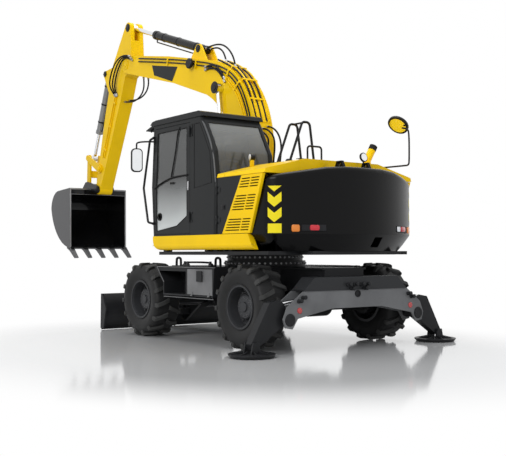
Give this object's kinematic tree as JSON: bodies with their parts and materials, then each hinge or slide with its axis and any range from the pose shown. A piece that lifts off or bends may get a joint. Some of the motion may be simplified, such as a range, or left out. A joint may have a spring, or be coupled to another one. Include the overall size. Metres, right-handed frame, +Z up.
{
  "type": "wheeled excavator",
  "caption": "Wheeled excavator with slewing upper structure, one-piece boom, arm and bucket, dozing blade and hinged stabiliser legs.",
  "frame": {"origin": "middle of the whole machine's length and width, on the floor under the tyres", "axes": "+X forward to the blade and the bucket, +Y to the machine's left, +Z up"},
  "size_m": [8.015, 3.64, 5.2443],
  "materials": {
    "chassis_grey": "satin",
    "machine_yellow": "semi-gloss",
    "gloss_black": "gloss",
    "charcoal": "satin",
    "rod_chrome": "polished",
    "rim_grey": "satin",
    "tyre_rubber": "matte",
    "engine_iron": "matte",
    "cab_glass": "clear",
    "seat_fabric": "matte",
    "console_plastic": "matte",
    "exhaust_steel": "satin",
    "lamp_red": "gloss"
  },
  "bodies": {
    "chassis": {"chassis_frame": "chassis_grey", "rear_axle": "chassis_grey", "front_axle": "chassis_grey", "stabiliser_beam": "chassis_grey", "step_boxes": "chassis_grey"},
    "knuckle_left": {"knuckle_left": "chassis_grey"},
    "knuckle_right": {"knuckle_right": "chassis_grey"},
    "steering_rod": {"steering_rod": "rod_chrome"},
    "wheel_front_left": {"rim_front_left": "rim_grey", "tyre_front_left": "tyre_rubber"},
    "wheel_front_right": {"rim_front_right": "rim_grey", "tyre_front_right": "tyre_rubber"},
    "wheel_rear_left": {"rim_rear_left": "rim_grey", "tyre_rear_left": "tyre_rubber"},
    "wheel_rear_right": {"rim_rear_right": "rim_grey", "tyre_rear_right": "tyre_rubber"},
    "blade": {"blade": "chassis_grey"},
    "blade_barrels": {"blade_barrels": "charcoal"},
    "blade_rods": {"blade_rods": "rod_chrome"},
    "leg_left": {"leg_left": "chassis_grey"},
    "leg_barrel_left": {"leg_barrel_left": "charcoal"},
    "leg_rod_left": {"leg_rod_left": "rod_chrome"},
    "foot_left": {"foot_left": "chassis_grey"},
    "leg_right": {"leg_right": "chassis_grey"},
    "leg_barrel_right": {"leg_barrel_right": "charcoal"},
    "leg_rod_right": {"leg_rod_right": "rod_chrome"},
    "foot_right": {"foot_right": "chassis_grey"},
    "tool_lid": {"tool_lid": "charcoal"},
    "upper": {"upper_frame": "chassis_grey", "side_skirts": "machine_yellow", "counterweight": "gloss_black", "bay_cover": "machine_yellow", "engine_block": "engine_iron", "right_housings": "machine_yellow", "cab_frame": "charcoal", "cab_roof": "charcoal", "cab_glass": "cab_glass", "seat": "seat_fabric", "controls": "console_plastic", "handrails": "chassis_grey", "mirrors": "charcoal", "lamps": "lamp_red"},
    "hood": {"engine_hood": "machine_yellow", "hood_rails": "chassis_grey", "exhaust": "exhaust_steel"},
    "service_door_left": {"service_door_left": "charcoal"},
    "service_door_right": {"service_door_right": "charcoal"},
    "cab_door": {"cab_door": "charcoal", "door_glass": "cab_glass"},
    "boom": {"boom": "machine_yellow"},
    "boom_barrels": {"boom_barrels": "charcoal"},
    "boom_rods": {"boom_rods": "rod_chrome"},
    "arm": {"arm": "machine_yellow"},
    "arm_barrel": {"arm_barrel": "charcoal"},
    "arm_rod": {"arm_rod": "rod_chrome"},
    "bucket": {"bucket": "gloss_black"},
    "link": {"link": "chassis_grey"},
    "rocker": {"rocker": "chassis_grey"},
    "bucket_barrel": {"bucket_barrel": "charcoal"},
    "bucket_rod": {"bucket_rod": "rod_chrome"}
  },
  "joints": [
    {"name": "slew", "type": "hinge", "parent": "chassis", "child": "upper", "pos_m": [-1.938, 0, 1.088], "axis": [0, 0, 1], "continuous": true},
    {"name": "steer", "type": "hinge", "parent": "chassis", "child": "knuckle_left", "pos_m": [-0.595, 0.86, 0.53], "axis": [0, 0, 1], "range_deg": [-24, 24]},
    {"name": "steer_right", "type": "hinge", "parent": "chassis", "child": "knuckle_right", "pos_m": [-0.595, -0.86, 0.53], "axis": [0, 0, 1], "range_deg": [-25, 25]},
    {"name": "steering_slide", "type": "slide", "parent": "chassis", "child": "steering_rod", "axis": [0, 1, 0], "range_m": [-0.0711, 0.0711]},
    {"name": "wheel_front_left", "type": "hinge", "parent": "knuckle_left", "child": "wheel_front_left", "pos_m": [-0.595, 1.06, 0.53], "axis": [0, 1, 0], "continuous": true},
    {"name": "wheel_front_right", "type": "hinge", "parent": "knuckle_right", "child": "wheel_front_right", "pos_m": [-0.595, -1.06, 0.53], "axis": [0, 1, 0], "continuous": true},
    {"name": "wheel_rear_left", "type": "hinge", "parent": "chassis", "child": "wheel_rear_left", "pos_m": [-3.032, 1.06, 0.53], "axis": [0, 1, 0], "continuous": true},
    {"name": "wheel_rear_right", "type": "hinge", "parent": "chassis", "child": "wheel_rear_right", "pos_m": [-3.032, -1.06, 0.53], "axis": [0, 1, 0], "continuous": true},
    {"name": "blade", "type": "hinge", "parent": "chassis", "child": "blade", "pos_m": [0.072, 0, 0.43], "axis": [0, -1, 0], "range_deg": [-12, 30]},
    {"name": "blade_cylinder", "type": "hinge", "parent": "chassis", "child": "blade_barrels", "pos_m": [0.022, 0, 0.91], "axis": [0, -1, 0], "range_deg": [-5.56, 12.4]},
    {"name": "blade_rod", "type": "slide", "parent": "blade_barrels", "child": "blade_rods", "axis": [0.6834, 0, -0.73], "range_m": [-0.1689, 0.0706]},
    {"name": "leg_left", "type": "hinge", "parent": "chassis", "child": "leg_left", "pos_m": [-3.695, 1.08, 0.41], "axis": [1, 0, 0], "range_deg": [-5, 95]},
    {"name": "leg_cylinder_left", "type": "hinge", "parent": "chassis", "child": "leg_barrel_left", "pos_m": [-3.695, 0.17, 0.69], "axis": [1, 0, 0], "range_deg": [-7.36, 1.33]},
    {"name": "leg_rod_left", "type": "slide", "parent": "leg_barrel_left", "child": "leg_rod_left", "axis": [0, 0.9951, -0.0985], "range_m": [-0.2943, 0.0202]},
    {"name": "foot_left", "type": "hinge", "parent": "leg_left", "child": "foot_left", "pos_m": [-3.695, 1.545, 0.13], "axis": [1, 0, 0], "range_deg": [-20, 20]},
    {"name": "leg_right", "type": "hinge", "parent": "chassis", "child": "leg_right", "pos_m": [-3.695, -1.08, 0.41], "axis": [-1, 0, 0], "range_deg": [-5, 95]},
    {"name": "leg_cylinder_right", "type": "hinge", "parent": "chassis", "child": "leg_barrel_right", "pos_m": [-3.695, -0.17, 0.69], "axis": [-1, 0, 0], "range_deg": [-7.36, 1.33]},
    {"name": "leg_rod_right", "type": "slide", "parent": "leg_barrel_right", "child": "leg_rod_right", "axis": [0, -0.9951, -0.0985], "range_m": [-0.2943, 0.0202]},
    {"name": "foot_right", "type": "hinge", "parent": "leg_right", "child": "foot_right", "pos_m": [-3.695, -1.545, 0.13], "axis": [-1, 0, 0], "range_deg": [-20, 20]},
    {"name": "tool_lid", "type": "hinge", "parent": "chassis", "child": "tool_lid", "pos_m": [-2.198, 1.2583, 0.634], "axis": [-1, 0, 0], "range_deg": [0, 95]},
    {"name": "hood", "type": "hinge", "parent": "upper", "child": "hood", "pos_m": [-2.7255, 0, 2.3623], "axis": [0, 1, 0], "range_deg": [0, 55]},
    {"name": "service_door_left", "type": "hinge", "parent": "upper", "child": "service_door_left", "pos_m": [-2.585, 1.27, 1.79], "axis": [0, 0, -1], "range_deg": [0, 95]},
    {"name": "service_door_right", "type": "hinge", "parent": "upper", "child": "service_door_right", "pos_m": [-2.585, -1.27, 1.79], "axis": [0, 0, 1], "range_deg": [0, 95]},
    {"name": "cab_door", "type": "hinge", "parent": "upper", "child": "cab_door", "pos_m": [-1.948, 1.273, 2.2], "axis": [0, 0, 1], "range_deg": [0, 110]},
    {"name": "boom", "type": "hinge", "parent": "upper", "child": "boom", "pos_m": [-1.818, 0, 1.66], "axis": [0, -1, 0], "range_deg": [-72, 3]},
    {"name": "boom_cylinder", "type": "hinge", "parent": "upper", "child": "boom_barrels", "pos_m": [-1.418, 0, 1.33], "axis": [0, -1, 0], "range_deg": [-72.78, 3.99]},
    {"name": "boom_rod", "type": "slide", "parent": "boom_barrels", "child": "boom_rods", "axis": [0.1456, 0, 0.9893], "range_m": [-0.6201, 0.0306]},
    {"name": "arm", "type": "hinge", "parent": "boom", "child": "arm", "pos_m": [1.842, 0, 4.5], "axis": [0, 1, 0], "range_deg": [-55, 50]},
    {"name": "arm_cylinder", "type": "hinge", "parent": "boom", "child": "arm_barrel", "pos_m": [-0.398, 0, 4.37], "axis": [0, 1, 0], "range_deg": [-3.25, 3.05]},
    {"name": "arm_rod", "type": "slide", "parent": "arm_barrel", "child": "arm_rod", "axis": [0.9435, 0, 0.3315], "range_m": [-0.5406, 0.4919]},
    {"name": "bucket", "type": "hinge", "parent": "arm", "child": "bucket", "pos_m": [2.952, 0, 2.37], "axis": [0, 1, 0], "range_deg": [-50, 110]},
    {"name": "link", "type": "hinge", "parent": "bucket", "child": "link", "pos_m": [3.372, 0, 2.475], "axis": [0, 1, 0], "range_deg": [-75.36, 34.8]},
    {"name": "rocker", "type": "hinge", "parent": "arm", "child": "rocker", "pos_m": [2.862, 0, 2.74], "axis": [0, 1, 0], "range_deg": [-38.2, 82.84]},
    {"name": "bucket_cylinder", "type": "hinge", "parent": "arm", "child": "bucket_barrel", "pos_m": [2.722, 0, 4.48], "axis": [0, 1, 0], "range_deg": [-1.25, 1.55]},
    {"name": "bucket_rod", "type": "slide", "parent": "bucket_barrel", "child": "bucket_rod", "axis": [0.3894, 0, -0.9211], "range_m": [-0.3021, 0.6587]}
  ],
  "couplings": [
    {"joint": "steer_right", "follows": "steer", "ratio": 1},
    {"joint": "steering_slide", "follows": "steer", "m_per_rad": 0.16507},
    {"joint": "blade_cylinder", "follows": "blade", "ratio": 0.38},
    {"joint": "blade_rod", "follows": "blade", "m_per_rad": -0.313},
    {"joint": "leg_cylinder_left", "follows": "leg_left", "ratio": -0.067},
    {"joint": "leg_rod_left", "follows": "leg_left", "m_per_rad": -0.1745},
    {"joint": "leg_cylinder_right", "follows": "leg_right", "ratio": -0.067},
    {"joint": "leg_rod_right", "follows": "leg_right", "m_per_rad": -0.1745},
    {"joint": "boom_cylinder", "follows": "boom", "ratio": 0.997},
    {"joint": "boom_rod", "follows": "boom", "m_per_rad": 0.4895},
    {"joint": "arm_cylinder", "follows": "arm", "ratio": 0.041},
    {"joint": "arm_rod", "follows": "arm", "m_per_rad": 0.558},
    {"joint": "link", "follows": "bucket", "ratio": -0.676},
    {"joint": "rocker", "follows": "bucket", "ratio": 0.744},
    {"joint": "bucket_cylinder", "follows": "bucket", "ratio": 0.005},
    {"joint": "bucket_rod", "follows": "bucket", "m_per_rad": 0.3405}
  ]
}
